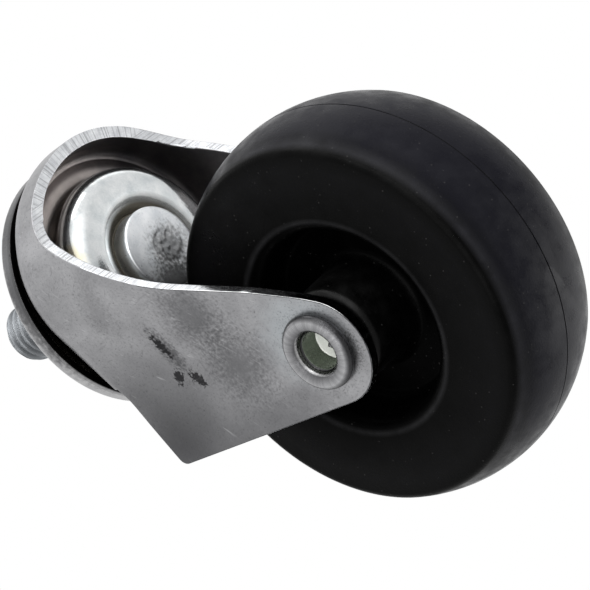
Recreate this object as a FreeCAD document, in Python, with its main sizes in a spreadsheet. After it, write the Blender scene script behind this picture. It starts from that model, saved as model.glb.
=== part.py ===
import FreeCAD, Part
import math
import os
import re
import Sketcher

# Swivel castor with a threaded stem, a pressed fork and a 50 mm wheel.
# Frame: origin at the centre of the cap's top face, +Z up along the stem,
# +X to the leading side, so the wheel trails at -X and its axle lies along Y.

os.makedirs("parts", exist_ok=True)
doc = FreeCAD.newDocument("swivel_castor")

# Driving dimensions, in millimetres and degrees

DIMENSIONS = [
    # The wheel and where it runs
    ("wheel_radius", 25.0),
    ("wheel_side_gap", 3.5),
    ("wheel_top_drop", 13.3),
    ("tread_crown_radius", 18.5),
    ("tread_shoulder_radius", 1.0),
    ("recess_radius", 12.6),
    ("recess_edge_radius", 2.0),
    ("recess_draft", 0.6),
    ("web_half_width", 3.0),
    ("hub_wall", 1.95),
    ("hub_draft", 0.5),
    ("hub_edge_radius", 1.2),
    ("hub_side_gap", 0.7),
    ("trail", 19.5),
    # The pressed fork
    ("sheet", 1.6),
    ("shoulder_radius", 3.2),
    ("skirt_radius", 17.6),
    ("skirt_height", 5.86),
    ("crown_rear_inset", 1.4),
    ("side_taper", 14.5),
    ("side_inset", 0.9),
    ("side_blend_inset", 3.6),
    ("knee_blend_radius", 8.0),
    ("leg_inset", 3.7),
    ("leg_end_wall", 3.3),
    ("leg_end_shift", 0.45),
    ("throat_forward", -2.7),
    ("throat_drop", 23.85),
    ("throat_radius", 30.0),
    ("neck_forward", -9.0),
    ("neck_drop", 34.6),
    ("neck_radius", 20.0),
    ("brow_inset", 7.2),
    ("brow_radius", 8.0),
    ("heel_reach", 3.9),
    ("wing_back", 11.0),
    ("wing_step", 2.06),
    ("wing_fall", 1.6),
    # The swivel bearing
    ("upper_ball_share", 0.09615),
    ("upper_pitch_inset", 3.6),
    ("upper_race_depth", 0.6),
    ("lower_pitch_share", 0.5074),
    ("lower_ball_share", 0.2665),
    ("race_clearance", 0.04),
    ("cap_inset", 1.0),
    ("cap_sheet", 1.1),
    ("cap_lip_gap", 0.7),
    ("cap_edge_radius", 0.8),
    ("cup_sheet", 1.0),
    ("cup_rim_rise", 0.18),
    ("cup_recess_depth", 1.58),
    # The kingpin with its threaded stem
    ("stem_radius", 4.0),
    ("stem_length", 19.9),
    ("stem_chamfer", 0.6),
    ("pin_seat_step", 0.4),
    ("pin_shoulder_step", 1.5),
    ("pin_shoulder_clearance", 0.4),
    ("pin_tail_step", 0.5),
    ("pin_head_inset", 0.01),
    ("pin_head_side_gap", 0.18),
    ("pin_head_height", 2.73),
    ("pin_head_edge_radius", 0.3),
    ("pin_dimple_inset", 3.1),
    ("pin_dimple_depth", 0.35),
    # The axle
    ("axle_radius", 3.5),
    ("axle_clearance", 0.05),
    ("sleeve_wall", 0.75),
    ("axle_bore_wall", 0.8),
    ("axle_bore_depth", 4.2),
    ("roll_lip", 1.2),
    ("roll_height", 1.4),
    ("roll_edge_radius", 0.75),
    ("roll_base_radius", 0.4),
    ("roll_mouth_radius", 0.5),
    ("axle_head_lip", 2.0),
    ("axle_head_height", 1.8),
    ("axle_head_edge_radius", 1.2),
]

# Sizes that follow from the driving ones, so that pieces which fit together change together

FOLLOWING = [
    ("cap_radius", "skirt_radius - cap_inset"),
    ("upper_pitch_radius", "cap_radius - upper_pitch_inset"),
    ("upper_ball_radius", "upper_pitch_radius * upper_ball_share"),
    ("crown_drop", "cap_sheet + race_clearance + 2 * upper_ball_radius - upper_race_depth"),
    ("crown_rear_radius", "skirt_radius - crown_rear_inset"),
    ("side_distance", "skirt_radius - side_inset"),
    ("side_blend_radius", "skirt_radius - side_blend_inset"),
    ("skirt_rim_drop", "crown_drop + skirt_height"),
    ("leg_half_width", "skirt_radius - leg_inset"),
    ("leg_end_radius", "axle_radius + axle_clearance + leg_end_wall"),
    ("brow_forward", "skirt_radius - brow_inset"),
    ("wing_drop", "crown_drop + wing_step"),
    ("heel_drop", "wing_drop + wing_fall"),
    ("heel_back", "trail + heel_reach"),
    ("cap_depth", "crown_drop - cap_lip_gap"),
    ("pin_tail_radius", "stem_radius - pin_tail_step"),
    ("pin_shoulder_radius", "pin_tail_radius + pin_shoulder_step"),
    ("lower_pitch_radius", "skirt_radius * lower_pitch_share"),
    ("lower_ball_radius", "lower_pitch_radius * lower_ball_share"),
    ("cup_groove_radius", "lower_ball_radius + race_clearance"),
    ("cup_round_radius", "cup_groove_radius + cup_sheet"),
    ("pin_head_radius", "lower_pitch_radius - cup_round_radius - pin_head_inset"),
    ("pin_dimple_radius", "pin_head_radius - pin_dimple_inset"),
    ("wheel_half_width", "leg_half_width - sheet - wheel_side_gap"),
    ("axle_drop", "wheel_radius + wheel_top_drop"),
    ("sleeve_radius", "axle_radius + axle_clearance + sleeve_wall"),
    ("hub_radius", "sleeve_radius + axle_clearance + hub_wall"),
    ("axle_bore_radius", "axle_radius - axle_bore_wall"),
    ("roll_radius", "axle_radius + roll_lip"),
    ("axle_head_radius", "axle_radius + axle_head_lip"),
]
UPPER_BALLS = 30
LOWER_BALLS = 11

sheet = doc.addObject("Spreadsheet::Sheet", "Dims")
cells = DIMENSIONS + [(alias, "=" + formula) for alias, formula in FOLLOWING]
for row, (alias, content) in enumerate(cells, start=1):
    sheet.set(f"A{row}", alias)
    sheet.setAlias(f"B{row}", alias)
for row, (alias, content) in enumerate(cells, start=1):
    sheet.set(f"B{row}", str(content))
doc.recompute()
ALIASES = {alias for alias, content in cells}

# Levels and places that several pieces share, worked out from the driving dimensions

CROWN_UNDERSIDE = "(-crown_drop - sheet)"
UPPER_BALL_LEVEL = "(-crown_drop - upper_race_depth + upper_ball_radius)"
LOWER_BALL_LEVEL = "(-crown_drop - sheet - race_clearance - lower_ball_radius)"
CUP_BOTTOM = f"({LOWER_BALL_LEVEL} - cup_round_radius)"
CUP_RIM = f"({LOWER_BALL_LEVEL} + cup_rim_rise)"
RECESS_LEVEL = f"({CUP_BOTTOM} + cup_recess_depth)"
LEG_INNER = "(leg_half_width - sheet)"
LEG_END_X = "(-trail - leg_end_shift)"
HUB_HALF_WIDTH = "(leg_half_width - sheet - hub_side_gap)"
OVERSIZE = 60


def in_sheet(text):
    """The expression with each size named as a cell of the sheet."""
    return re.sub(r"[a-z_]+", lambda word: "Dims." + word.group() if word.group() in ALIASES else word.group(),
                  str(text))


def size_of(text):
    """The number that an expression stands for."""
    return float(sheet.evalExpression(in_sheet(text)))


def bind(thing, prop, text):
    thing.setExpression(prop, in_sheet(text))


# Helpers for bodies and constrained sketches

def new_body(name):
    body = doc.addObject("PartDesign::Body", name)
    body.Label = name
    return body


def new_sketch(body, name, plane, level=None):
    """A sketch on one of the body's own origin planes, raised along the plane's normal where level is given."""
    sketch = body.newObject("Sketcher::SketchObject", name)
    support = [item for item in body.Origin.OriginFeatures if item.Role == plane][0]
    sketch.AttachmentSupport = [(support, "")]
    sketch.MapMode = "FlatFace"
    if level is not None:
        sketch.AttachmentOffset = FreeCAD.Placement(FreeCAD.Vector(0, 0, size_of(level)), FreeCAD.Rotation())
        bind(sketch, "AttachmentOffset.Base.z", level)
    return sketch


def fix_point(sketch, geometry, position, spot):
    """Hold a sketch point at a place given by two expressions."""
    for kind, text in zip(("DistanceX", "DistanceY"), spot):
        index = sketch.addConstraint(Sketcher.Constraint(kind, geometry, position, size_of(text)))
        bind(sketch, f"Constraints[{index}]", text)


def fix_radius(sketch, geometry, text):
    index = sketch.addConstraint(Sketcher.Constraint("Radius", geometry, size_of(text)))
    bind(sketch, f"Constraints[{index}]", text)


def add_circle(sketch, spot, radius):
    centre = FreeCAD.Vector(size_of(spot[0]), size_of(spot[1]), 0)
    circle = sketch.addGeometry(Part.Circle(centre, FreeCAD.Vector(0, 0, 1), size_of(radius)), False)
    fix_point(sketch, circle, 3, spot)
    fix_radius(sketch, circle, radius)
    return circle


def add_arc(sketch, start, end, middle):
    """An arc of less than half a turn; returns it with the numbers of its points at the start and the end."""
    through = Part.Circle(start, middle, end)
    circle = Part.Circle(through.Center, FreeCAD.Vector(0, 0, 1), through.Radius)
    first, last = circle.parameter(start), circle.parameter(end)
    if (last - first) % (2 * math.pi) < math.pi:
        return sketch.addGeometry(Part.ArcOfCircle(circle, first, last), False), 1, 2
    return sketch.addGeometry(Part.ArcOfCircle(circle, last, first), False), 2, 1


def add_outline(sketch, corners):
    """A closed outline through corners (x, y) or (x, y, radius), where a radius rounds its corner.

    Each corner is a construction point held by its two expressions, the straight lines pass
    through the corners, and the rounding arcs are tangent to them.
    """
    spots = [FreeCAD.Vector(size_of(c[0]), size_of(c[1]), 0) for c in corners]
    count = len(corners)
    arrive, leave, middles = [], [], []
    for i, corner in enumerate(corners):
        before = (spots[i - 1] - spots[i]).normalize()
        after = (spots[(i + 1) % count] - spots[i]).normalize()
        if len(corner) < 3:
            arrive.append(spots[i])
            leave.append(spots[i])
            middles.append(None)
            continue
        radius = size_of(corner[2])
        half = before.getAngle(after) / 2
        reach = radius / math.tan(half)
        bisector = (before + after).normalize()
        centre = spots[i] + bisector * (radius / math.sin(half))
        arrive.append(spots[i] + before * reach)
        leave.append(spots[i] + after * reach)
        middles.append(centre - bisector * radius)
    lines = []
    for i in range(count):
        segment = Part.LineSegment(leave[i], arrive[(i + 1) % count])
        lines.append(sketch.addGeometry(segment, False))
    for i, corner in enumerate(corners):
        into, out_of = lines[i - 1], lines[i]
        if middles[i] is None:
            sketch.addConstraint(Sketcher.Constraint("Coincident", into, 2, out_of, 1))
            fix_point(sketch, out_of, 1, corner)
            continue
        point = sketch.addGeometry(Part.Point(spots[i]), True)
        fix_point(sketch, point, 1, corner)
        sketch.addConstraint(Sketcher.Constraint("PointOnObject", point, 1, into))
        sketch.addConstraint(Sketcher.Constraint("PointOnObject", point, 1, out_of))
        arc, start, end = add_arc(sketch, arrive[i], leave[i], middles[i])
        sketch.addConstraint(Sketcher.Constraint("Tangent", into, 2, arc, start))
        sketch.addConstraint(Sketcher.Constraint("Tangent", arc, end, out_of, 1))
        fix_radius(sketch, arc, corner[2])
    return lines


def swap_line_for_arc(sketch, lines, index, middle, radius):
    """Put an arc of the given radius, bulging towards a middle point, in place of one line of an outline."""
    line = sketch.Geometry[lines[index]]
    start, end = line.StartPoint, line.EndPoint
    sketch.toggleConstruction(lines[index])
    arc, at_start, at_end = add_arc(sketch, start, end, FreeCAD.Vector(middle[0], middle[1], 0))
    sketch.addConstraint(Sketcher.Constraint("Coincident", arc, at_start, lines[index], 1))
    sketch.addConstraint(Sketcher.Constraint("Coincident", arc, at_end, lines[index], 2))
    fix_radius(sketch, arc, radius)
    return arc


def pad_down(body, name, sketch, length):
    pad = body.newObject("PartDesign::Pad", name)
    pad.Profile = sketch
    pad.Reversed = True
    bind(pad, "Length", length)
    return pad


def cut_down(body, name, sketch, length=None):
    """Cut from a level sketch downwards, right through where no length is given."""
    pocket = body.newObject("PartDesign::Pocket", name)
    pocket.Profile = sketch
    if length is None:
        pocket.Type = "ThroughAll"
    else:
        bind(pocket, "Length", length)
    return pocket


def cut_across(body, name, sketch):
    """Cut along Y from an upright sketch, through both sides."""
    pocket = body.newObject("PartDesign::Pocket", name)
    pocket.Profile = sketch
    pocket.SideType = "Symmetric"
    pocket.Type = "ThroughAll"
    return pocket


def turn(body, name, sketch, kind="Revolution", axis="V_Axis"):
    """A full turn of a sketch, added to the body or, as a Groove, taken from it."""
    feature = body.newObject("PartDesign::" + kind, name)
    feature.Profile = sketch
    feature.ReferenceAxis = (sketch, [axis])
    feature.Angle = 360
    return feature


def round_edges(body, name, base, radius, wanted):
    """Fillet the edges of a feature whose middle point answers a test."""
    doc.recompute()
    names = []
    for number, edge in enumerate(base.Shape.Edges, start=1):
        middle = edge.valueAt((edge.FirstParameter + edge.LastParameter) / 2)
        if wanted(edge, middle):
            names.append(f"Edge{number}")
    fillet = body.newObject("PartDesign::Fillet", name)
    fillet.Base = (base, names)
    bind(fillet, "Radius", radius)
    return fillet


def near(a, b):
    return abs(a - b) < 0.01


# The fork: one steel sheet pressed into a round crown, a skirt and two legs

def plan_corners(inset):
    """Where the plan outline, inset by the given amount, turns from its round front to the side and to the leg."""
    radius = f"(skirt_radius - {inset})"
    distance = f"(side_distance - {inset})"
    half = f"(leg_half_width - {inset})"
    turn_angle = f"(90 + side_taper - acos({distance} / {radius}) / 1deg)"
    front = (f"{radius} * cos({turn_angle})", f"{radius} * sin({turn_angle})")
    knee = (f"({half} * cos(side_taper) - {distance}) / sin(side_taper)", half)
    return front, knee


def plan_sketch(body, name, level, inset):
    """The plan outline: a round front, sides that taper to the rear and parallel legs."""
    front, knee = plan_corners(inset)
    sketch = new_sketch(body, name, "XY_Plane", level)
    lines = add_outline(sketch, [
        front,
        knee,
        (str(-OVERSIZE), knee[1]),
        (str(-OVERSIZE), f"-{knee[1]}"),
        (knee[0], f"-{knee[1]}"),
        (front[0], f"-{front[1]}"),
    ])
    nose = (size_of(f"skirt_radius - {inset}"), 0)
    swap_line_for_arc(sketch, lines, 5, nose, f"skirt_radius - {inset}")
    return sketch


def is_upright(spot):
    """A test for the upright edges at a place and at its mirror image."""
    x, y = size_of(spot[0]), size_of(spot[1])
    return lambda edge, middle: near(middle.x, x) and near(abs(middle.y), y)


def is_top_edge(level):
    """A test for the edges of the top face, apart from the one that closes the legs at the back."""
    height = size_of(level)
    return lambda edge, middle: near(middle.z, height) and middle.x > 1 - OVERSIZE


def make_fork():
    fork = new_body("fork")
    front, knee = plan_corners("0")
    block = pad_down(fork, "block", plan_sketch(fork, "outer_plan", "-crown_drop", "0"), str(OVERSIZE))
    block = round_edges(fork, "side_blends", block, "side_blend_radius", is_upright(front))
    block = round_edges(fork, "knee_blends", block, "knee_blend_radius", is_upright(knee))
    round_edges(fork, "shoulder", block, "shoulder_radius", is_top_edge("-crown_drop"))
    front, knee = plan_corners("sheet")
    hollow = cut_down(fork, "hollow", plan_sketch(fork, "inner_plan", CROWN_UNDERSIDE, "sheet"))
    hollow = round_edges(fork, "inner_side_blends", hollow, "side_blend_radius - sheet", is_upright(front))
    hollow = round_edges(fork, "inner_knee_blends", hollow, "knee_blend_radius + sheet", is_upright(knee))
    round_edges(fork, "inner_shoulder", hollow, "shoulder_radius - sheet", is_top_edge(CROWN_UNDERSIDE))
    trim_sides(fork)
    trim_rear(fork)
    press_race(fork)
    bore_fork(fork)
    return fork


def tangent_spot(x, z, side):
    """Where a line from a point touches the round end of the leg."""
    reach_x, reach_z = f"({x} - {LEG_END_X})", f"({z} + axle_drop)"
    angle = f"(atan2({reach_z}; {reach_x}) {side} acos(leg_end_radius / sqrt({reach_x}^2 + {reach_z}^2)))"
    return (f"{LEG_END_X} + leg_end_radius * cos({angle})", f"-axle_drop + leg_end_radius * sin({angle})")


def trim_sides(fork):
    """Cut away all that lies outside the side outline: skirt rim, throat, round leg end and trailing edge."""
    sketch = new_sketch(fork, "side_outline", "XZ_Plane")
    far = str(2 * OVERSIZE)
    top = str(OVERSIZE / 2)
    add_outline(sketch, [(f"-{far}", f"-{far}"), (far, f"-{far}"), (far, far), (f"-{far}", far)])
    lines = add_outline(sketch, [
        (top, "-skirt_rim_drop"),
        ("brow_forward", "-skirt_rim_drop", "brow_radius"),
        ("throat_forward", "-throat_drop", "throat_radius"),
        ("neck_forward", "-neck_drop", "neck_radius"),
        tangent_spot("neck_forward", "-neck_drop", "-"),
        tangent_spot("-heel_back", "-heel_drop", "+"),
        ("-heel_back", "-heel_drop"),
        ("-heel_back", top),
        (top, top),
    ])
    lowest = (size_of(LEG_END_X), size_of("-axle_drop - leg_end_radius"))
    swap_line_for_arc(sketch, lines, 4, lowest, "leg_end_radius")
    cut_across(fork, "side_trim", sketch)


def trim_rear(fork):
    """Cut the crown's rear to an arc, and leave the wings of the legs standing lower behind it."""
    wing_y = "sqrt(crown_rear_radius^2 - wing_back^2)"
    sketch = new_sketch(fork, "rear_outline", "XY_Plane")
    lines = add_outline(sketch, [
        ("-wing_back", wing_y),
        ("-wing_back", str(OVERSIZE)),
        (str(-2 * OVERSIZE), str(OVERSIZE)),
        (str(-2 * OVERSIZE), str(-OVERSIZE)),
        ("-wing_back", str(-OVERSIZE)),
        ("-wing_back", f"-{wing_y}"),
    ])
    swap_line_for_arc(sketch, lines, 5, (-size_of("crown_rear_radius"), 0), "crown_rear_radius")
    cut_down(fork, "rear_trim", sketch, "wing_drop")
    wing = new_sketch(fork, "wing_outline", "XZ_Plane")
    slope = "(heel_drop - wing_drop) / (heel_back - wing_back)"
    add_outline(wing, [
        ("-wing_back", "-wing_drop"),
        ("-wing_back", str(OVERSIZE)),
        (str(-OVERSIZE), str(OVERSIZE)),
        (str(-OVERSIZE), f"-wing_drop - {slope} * ({OVERSIZE} - wing_back)"),
    ])
    cut_across(fork, "wing_trim", wing)


def press_race(fork):
    """The annular channel that the upper balls run in, with its bead on the underside."""
    spot = ("upper_pitch_radius", UPPER_BALL_LEVEL)
    groove_radius = "(upper_ball_radius + race_clearance)"
    bead_radius = f"({groove_radius} + sheet)"
    half = f"sqrt({bead_radius}^2 - ({UPPER_BALL_LEVEL} - {CROWN_UNDERSIDE})^2)"
    middle_level = f"{CROWN_UNDERSIDE} + sheet / 2"
    bead = new_sketch(fork, "bead_section", "XZ_Plane")
    lines = add_outline(bead, [
        (f"upper_pitch_radius - {half}", CROWN_UNDERSIDE),
        (f"upper_pitch_radius - {half}", middle_level),
        (f"upper_pitch_radius + {half}", middle_level),
        (f"upper_pitch_radius + {half}", CROWN_UNDERSIDE),
    ])
    lowest = (size_of("upper_pitch_radius"), size_of(f"{UPPER_BALL_LEVEL} - {bead_radius}"))
    swap_line_for_arc(bead, lines, 3, lowest, bead_radius)
    turn(fork, "race_bead", bead)
    channel = new_sketch(fork, "channel_section", "XZ_Plane")
    add_circle(channel, spot, groove_radius)
    turn(fork, "race_channel", channel, "Groove")


def bore_fork(fork):
    hole = new_sketch(fork, "kingpin_hole_outline", "XY_Plane")
    add_circle(hole, ("0", "0"), "pin_shoulder_radius + pin_shoulder_clearance")
    cut_down(fork, "kingpin_hole", hole)
    holes = new_sketch(fork, "axle_hole_outline", "XZ_Plane")
    add_circle(holes, ("-trail", "-axle_drop"), "axle_radius + axle_clearance")
    fork.Tip = cut_across(fork, "axle_holes", holes)


# Turned and pressed pieces about the swivel axis

def make_top_cap():
    """The upper race: a pressed disc with a turned-down lip, tight on the kingpin."""
    cap = new_body("top_cap")
    section = new_sketch(cap, "cap_section", "XZ_Plane")
    inner_radius = "(cap_radius - cap_sheet)"
    add_outline(section, [
        ("stem_radius + pin_seat_step", "0"),
        ("cap_radius", "0", "cap_edge_radius"),
        ("cap_radius", "-cap_depth"),
        (inner_radius, "-cap_depth"),
        (inner_radius, "-cap_sheet"),
        ("stem_radius + pin_seat_step", "-cap_sheet"),
    ])
    cap.Tip = turn(cap, "cap_turn", section)
    return cap


def make_lower_cup():
    """The lower race: a cup pressed round the balls, with a recess for the kingpin's head."""
    cup = new_body("lower_race_cup")
    section = new_sketch(cup, "cup_section", "XZ_Plane")
    round_radius = "(lower_pitch_radius + cup_round_radius)"
    groove_radius = "(lower_pitch_radius + cup_groove_radius)"
    recess_radius = "(pin_head_radius + pin_head_side_gap)"
    recess_top = f"({RECESS_LEVEL} + cup_sheet)"
    inner_middle = f"({recess_radius} + sqrt(cup_round_radius^2 - ({RECESS_LEVEL} - {LOWER_BALL_LEVEL})^2))"
    groove_reach = f"sqrt(cup_groove_radius^2 - ({recess_top} - {LOWER_BALL_LEVEL})^2)"
    lines = add_outline(section, [
        (round_radius, CUP_RIM),
        (round_radius, LOWER_BALL_LEVEL),
        ("lower_pitch_radius", CUP_BOTTOM),
        (inner_middle, CUP_BOTTOM),
        (recess_radius, RECESS_LEVEL),
        ("pin_tail_radius", RECESS_LEVEL),
        ("pin_tail_radius", recess_top),
        (f"lower_pitch_radius - {groove_reach}", recess_top),
        (groove_radius, LOWER_BALL_LEVEL),
        (groove_radius, CUP_RIM),
    ])
    slant = math.sqrt(0.5)
    for index, middle, radius, side in (
        (1, "lower_pitch_radius", "cup_round_radius", 1),
        (3, inner_middle, "cup_round_radius", -1),
        (7, "lower_pitch_radius", "cup_groove_radius", 0),
    ):
        x = size_of(middle) + side * slant * size_of(radius)
        z = size_of(LOWER_BALL_LEVEL) - (slant if side else 1) * size_of(radius)
        swap_line_for_arc(section, lines, index, (x, z), radius)
    cup.Tip = turn(cup, "cup_turn", section)
    return cup


def make_kingpin():
    """Threaded stem, shank through the bearing and formed head, all one turned piece."""
    pin = new_body("kingpin")
    section = new_sketch(pin, "pin_section", "XZ_Plane")
    head_face = f"({RECESS_LEVEL} - pin_head_height)"
    shoulder_base = f"({RECESS_LEVEL} + cup_sheet)"
    add_outline(section, [
        ("0", "stem_length"),
        ("stem_radius - stem_chamfer", "stem_length"),
        ("stem_radius", "stem_length - stem_chamfer"),
        ("stem_radius", "0"),
        ("stem_radius + pin_seat_step", "0"),
        ("stem_radius + pin_seat_step", "-cap_sheet"),
        ("pin_shoulder_radius", "-cap_sheet"),
        ("pin_shoulder_radius", shoulder_base),
        ("pin_tail_radius", shoulder_base),
        ("pin_tail_radius", RECESS_LEVEL),
        ("pin_head_radius", RECESS_LEVEL),
        ("pin_head_radius", head_face, "pin_head_edge_radius"),
        ("pin_dimple_radius", head_face),
        ("pin_dimple_radius * 0.6", f"{head_face} + pin_dimple_depth"),
        ("0", f"{head_face} + pin_dimple_depth"),
    ])
    pin.Tip = turn(pin, "pin_turn", section)
    return pin


def place_balls(name, count, radius, pitch, level):
    """A ring of equal balls, each its own piece."""
    for number in range(count):
        ball = doc.addObject("Part::Sphere", f"{name}_{number + 1:02d}")
        ball.Label = f"{name}_{number + 1:02d}"
        angle = 360.0 * number / count
        bind(ball, "Radius", radius)
        bind(ball, "Placement.Base.x", f"{pitch} * cos({angle})")
        bind(ball, "Placement.Base.y", f"{pitch} * sin({angle})")
        bind(ball, "Placement.Base.z", level)
        pieces.append(ball)


# The wheel and what it runs on

def place_at_axle(body):
    bind(body, "Placement.Base.x", "-trail")
    bind(body, "Placement.Base.z", "-axle_drop")


def make_wheel():
    """A moulded wheel: crowned tread, flat sides with a deep recess, thin web and long hub."""
    wheel = new_body("wheel")
    section = new_sketch(wheel, "wheel_section", "XY_Plane")
    tread_centre = "(wheel_radius - tread_crown_radius)"
    edge_radius = f"({tread_centre} + sqrt(tread_crown_radius^2 - wheel_half_width^2))"
    bore = "(sleeve_radius + axle_clearance)"
    half = [
        (bore, HUB_HALF_WIDTH),
        ("hub_radius", HUB_HALF_WIDTH, "hub_edge_radius"),
        ("hub_radius + hub_draft", "web_half_width", "hub_edge_radius"),
        ("recess_radius - recess_draft", "web_half_width", "hub_edge_radius"),
        ("recess_radius", "wheel_half_width", "recess_edge_radius"),
        (edge_radius, "wheel_half_width"),
    ]
    mirrored = [(corner[0], f"-{corner[1]}") + tuple(corner[2:]) for corner in reversed(half)]
    lines = add_outline(section, half + mirrored)
    swap_line_for_arc(section, lines, len(half) - 1, (size_of("wheel_radius"), 0), "tread_crown_radius")
    turned = turn(wheel, "wheel_turn", section)
    radius = size_of(edge_radius)
    wheel.Tip = round_edges(
        wheel, "tread_shoulders", turned, "tread_shoulder_radius",
        lambda edge, middle: near(math.hypot(middle.x, middle.z), radius) and near(abs(middle.y), size_of("wheel_half_width")))
    place_at_axle(wheel)
    return wheel


def make_sleeve():
    """The steel tube that keeps the legs apart and carries the wheel."""
    sleeve = new_body("axle_sleeve")
    section = new_sketch(sleeve, "sleeve_section", "XY_Plane")
    bore = "(axle_radius + axle_clearance)"
    add_outline(section, [
        (bore, f"-{LEG_INNER}"),
        ("sleeve_radius", f"-{LEG_INNER}"),
        ("sleeve_radius", LEG_INNER),
        (bore, LEG_INNER),
    ])
    sleeve.Tip = turn(sleeve, "sleeve_turn", section)
    place_at_axle(sleeve)
    return sleeve


def make_axle():
    """A semi-tubular rivet: a plain head on the far leg and a rolled end on the near one."""
    axle = new_body("axle_rivet")
    section = new_sketch(axle, "rivet_section", "XY_Plane")
    crest = "(-leg_half_width - roll_height)"
    add_outline(section, [
        ("0", "leg_half_width + axle_head_height"),
        ("axle_head_radius", "leg_half_width + axle_head_height", "axle_head_edge_radius"),
        ("axle_head_radius", "leg_half_width"),
        ("axle_radius", "leg_half_width"),
        ("axle_radius", "-leg_half_width"),
        ("roll_radius", "-leg_half_width", "roll_base_radius"),
        ("roll_radius", crest, "roll_edge_radius"),
        ("axle_bore_radius", crest, "roll_mouth_radius"),
        ("axle_bore_radius", f"{crest} + axle_bore_depth"),
        ("0", f"{crest} + axle_bore_depth"),
    ])
    axle.Tip = turn(axle, "rivet_turn", section)
    place_at_axle(axle)
    return axle


pieces = [make_fork(), make_top_cap(), make_lower_cup(), make_kingpin(), make_wheel(), make_sleeve(), make_axle()]
place_balls("upper_ball", UPPER_BALLS, "upper_ball_radius", "upper_pitch_radius", UPPER_BALL_LEVEL)
place_balls("lower_ball", LOWER_BALLS, "lower_ball_radius", "lower_pitch_radius", LOWER_BALL_LEVEL)
doc.recompute()

# Check every object and every shape before anything is written

for item in doc.Objects:
    if "Invalid" in item.State or "Error" in item.State:
        raise RuntimeError(f"{item.Label} failed: {item.State}")
for piece in pieces:
    shape = piece.Shape
    if shape.isNull() or not shape.isValid() or len(shape.Solids) != 1:
        raise RuntimeError(f"{piece.Label} has a faulty shape")
for piece in pieces:
    piece.Shape.exportStep(f"parts/{piece.Label}.step")
    print(f"{piece.Label}: {piece.Shape.Volume:.1f} mm3")
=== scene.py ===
import bpy
import math
from mathutils import Matrix, Vector, noise


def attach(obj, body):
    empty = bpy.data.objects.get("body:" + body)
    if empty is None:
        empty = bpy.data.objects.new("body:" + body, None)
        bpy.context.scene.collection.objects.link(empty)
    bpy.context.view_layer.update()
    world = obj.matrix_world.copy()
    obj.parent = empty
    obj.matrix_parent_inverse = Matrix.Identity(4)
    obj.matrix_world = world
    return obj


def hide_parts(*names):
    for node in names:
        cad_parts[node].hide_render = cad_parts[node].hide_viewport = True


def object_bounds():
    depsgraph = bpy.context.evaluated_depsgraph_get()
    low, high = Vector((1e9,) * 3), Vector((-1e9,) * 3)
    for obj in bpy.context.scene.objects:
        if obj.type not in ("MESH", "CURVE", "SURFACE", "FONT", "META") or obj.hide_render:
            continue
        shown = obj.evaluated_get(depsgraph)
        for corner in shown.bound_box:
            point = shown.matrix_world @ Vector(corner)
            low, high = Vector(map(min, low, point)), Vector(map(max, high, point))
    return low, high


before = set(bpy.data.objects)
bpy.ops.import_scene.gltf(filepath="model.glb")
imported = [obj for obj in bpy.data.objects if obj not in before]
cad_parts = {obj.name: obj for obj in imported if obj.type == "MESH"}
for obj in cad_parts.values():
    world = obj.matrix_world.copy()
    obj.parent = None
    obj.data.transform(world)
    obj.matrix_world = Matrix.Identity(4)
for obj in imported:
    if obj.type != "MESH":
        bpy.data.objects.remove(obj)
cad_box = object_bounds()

# The camera. It looks up at the castor from ahead and from the near side, below the crown, through
# a long lens. Place, turn and lens come from the outlines of the wheel, the fork's rim, the rivet
# and the cap.
MM = 0.001
CAMERA_PLACE = (13.29, -267.98, -302.56)
CAMERA_TURN = (-153.0512, 36.503, 136.311)
CAMERA_LENS = 193.46
SENSOR_WIDTH = 36
NEAREST_SEEN = 0.01
FARTHEST_SEEN = 10
camera_data = bpy.data.cameras.new("camera")
camera_data.lens = CAMERA_LENS
camera_data.sensor_width = SENSOR_WIDTH
camera_data.clip_start = NEAREST_SEEN
camera_data.clip_end = FARTHEST_SEEN
camera = bpy.data.objects.new("camera", camera_data)
camera.location = [place * MM for place in CAMERA_PLACE]
camera.rotation_euler = [math.radians(turn) for turn in CAMERA_TURN]
bpy.context.scene.collection.objects.link(camera)
bpy.context.scene.camera = camera


# The kingpin: one turned steel pin, zinc plated. Its top is the M8 stem with a rolled thread, its
# shank carries both races, and its lower end is riveted over the lower cup to a flat head, with a
# rough spot where the press turned on it.
def paint(colour):
    """The linear colour of an sRGB hex value."""
    channels = [int(colour[i:i + 2], 16) / 255 for i in (0, 2, 4)]
    linear = [c / 12.92 if c <= 0.04045 else ((c + 0.055) / 1.055) ** 2.4 for c in channels]
    return (*linear, 1)


def add_node(material, kind, settings=None, **inputs):
    """Adds a node, with its settings, and its inputs as values or as links from other nodes."""
    tree = material.node_tree
    node = tree.nodes.new(kind)
    for name, value in (settings or {}).items():
        setattr(node, name, value)
    for name, value in inputs.items():
        by_number = name.startswith("in_")
        socket = node.inputs[int(name[3:]) if by_number else name.replace("_", " ")]
        if isinstance(value, bpy.types.NodeSocket):
            tree.links.new(value, socket)
        else:
            socket.default_value = value
    return node


def new_material(name):
    """A material with an empty tree, and the position on the object as a socket."""
    material = bpy.data.materials.new(name)
    material.use_nodes = True
    material.node_tree.nodes.clear()
    return material, add_node(material, "ShaderNodeTexCoord").outputs["Object"]


def calculate(material, operation, *values):
    """One step of arithmetic on numbers and sockets."""
    inputs = {f"in_{index}": value for index, value in enumerate(values)}
    return add_node(material, "ShaderNodeMath", {"operation": operation}, **inputs).outputs[0]


def ramp(material, value, start, end, low=0.0, high=1.0):
    """Runs from low to high while a value goes from start to end, and is level outside."""
    return add_node(material, "ShaderNodeMapRange", Value=value, From_Min=start, From_Max=end,
                    To_Min=low, To_Max=high).outputs[0]


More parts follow.
